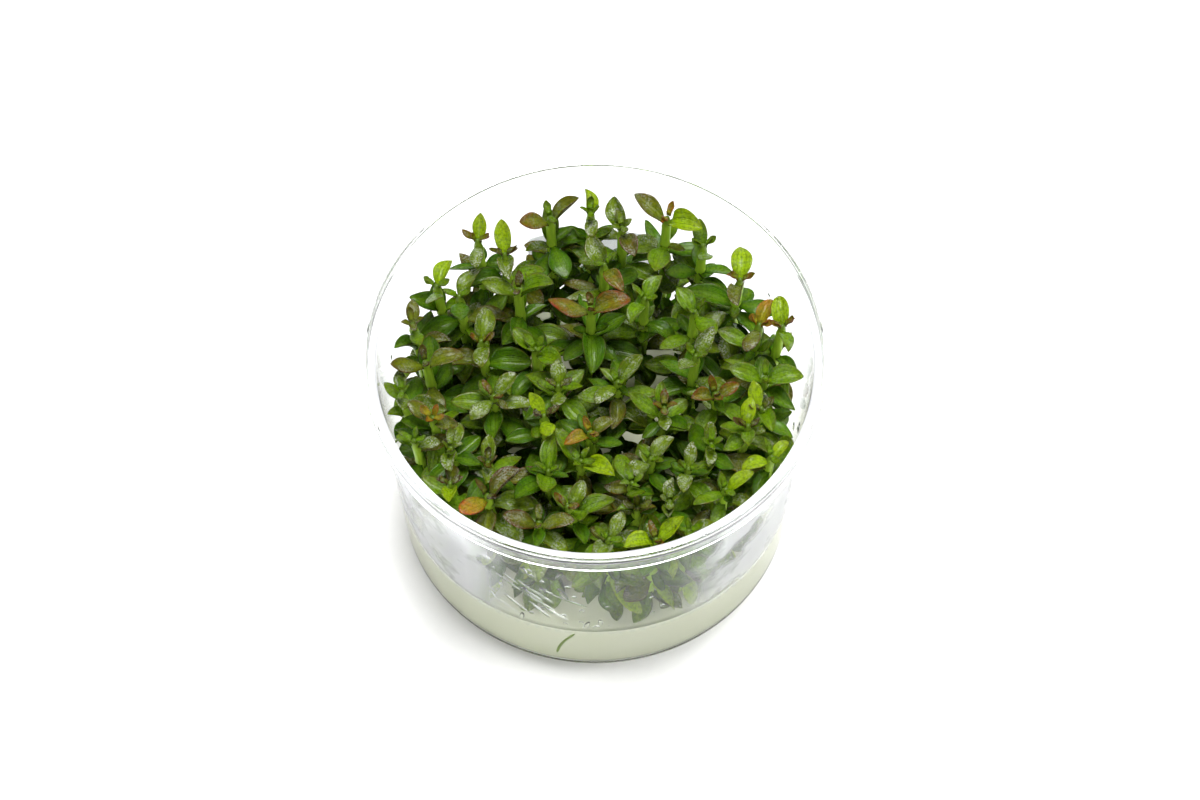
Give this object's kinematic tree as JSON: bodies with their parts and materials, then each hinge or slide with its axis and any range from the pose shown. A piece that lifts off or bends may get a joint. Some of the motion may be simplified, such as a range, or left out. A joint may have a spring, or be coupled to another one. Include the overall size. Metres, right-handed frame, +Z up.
{
  "type": "aquarium plant in tissue culture cup",
  "caption": "Open clear culture cup with a stepped rim, filled by a dense crowd of short leafy bacopa shoots standing on a disc of nutrient gel, with a bare label on the back wall.",
  "frame": {"origin": "centre of the cup's underside", "axes": "+Z up along the cup's axis, -Y towards the front of the cup, the label is on the +Y side"},
  "size_m": [0.1, 0.1, 0.0625],
  "materials": {
    "clear_plastic": "clear, polished",
    "nutrient_gel": "translucent gel",
    "label_film": "bare satin film",
    "leaf_green": "living leaf, waxy satin",
    "leaf_bronze": "living leaf, waxy satin, bronze flush",
    "leaf_silver": "living leaf, waxy satin, silvery bloom",
    "leaf_red": "living leaf, waxy satin, red flush"
  },
  "bodies": {
    "root": {"cup": "clear_plastic", "gel": "nutrient_gel", "label": "label_film", "shoot_01": "leaf_green", "shoot_02": "leaf_green", "shoot_03": "leaf_bronze", "shoot_04": "leaf_green", "shoot_05": "leaf_silver", "shoot_06": "leaf_green", "shoot_07": "leaf_green", "shoot_08": "leaf_green", "shoot_09": "leaf_green", "shoot_10": "leaf_bronze", "shoot_11": "leaf_silver", "shoot_12": "leaf_silver", "shoot_13": "leaf_bronze", "shoot_14": "leaf_green", "shoot_15": "leaf_bronze", "shoot_16": "leaf_bronze", "shoot_17": "leaf_silver", "shoot_18": "leaf_green", "shoot_19": "leaf_red", "shoot_20": "leaf_green", "shoot_21": "leaf_green", "shoot_22": "leaf_silver", "shoot_23": "leaf_silver", "shoot_24": "leaf_silver", "shoot_25": "leaf_red", "shoot_26": "leaf_silver", "shoot_27": "leaf_red", "shoot_28": "leaf_green", "shoot_29": "leaf_bronze", "shoot_30": "leaf_silver", "shoot_31": "leaf_bronze", "shoot_32": "leaf_red", "shoot_33": "leaf_silver", "shoot_34": "leaf_silver", "shoot_35": "leaf_silver", "shoot_36": "leaf_bronze", "shoot_37": "leaf_red", "shoot_38": "leaf_green", "shoot_39": "leaf_bronze", "shoot_40": "leaf_silver", "shoot_41": "leaf_bronze", "shoot_42": "leaf_green", "shoot_43": "leaf_silver", "shoot_44": "leaf_bronze", "shoot_45": "leaf_silver", "shoot_46": "leaf_green", "shoot_47": "leaf_green", "shoot_48": "leaf_silver", "shoot_49": "leaf_silver", "shoot_50": "leaf_silver", "shoot_51": "leaf_silver", "shoot_52": "leaf_green", "shoot_53": "leaf_bronze", "shoot_54": "leaf_green"}
  },
  "joints": []
}
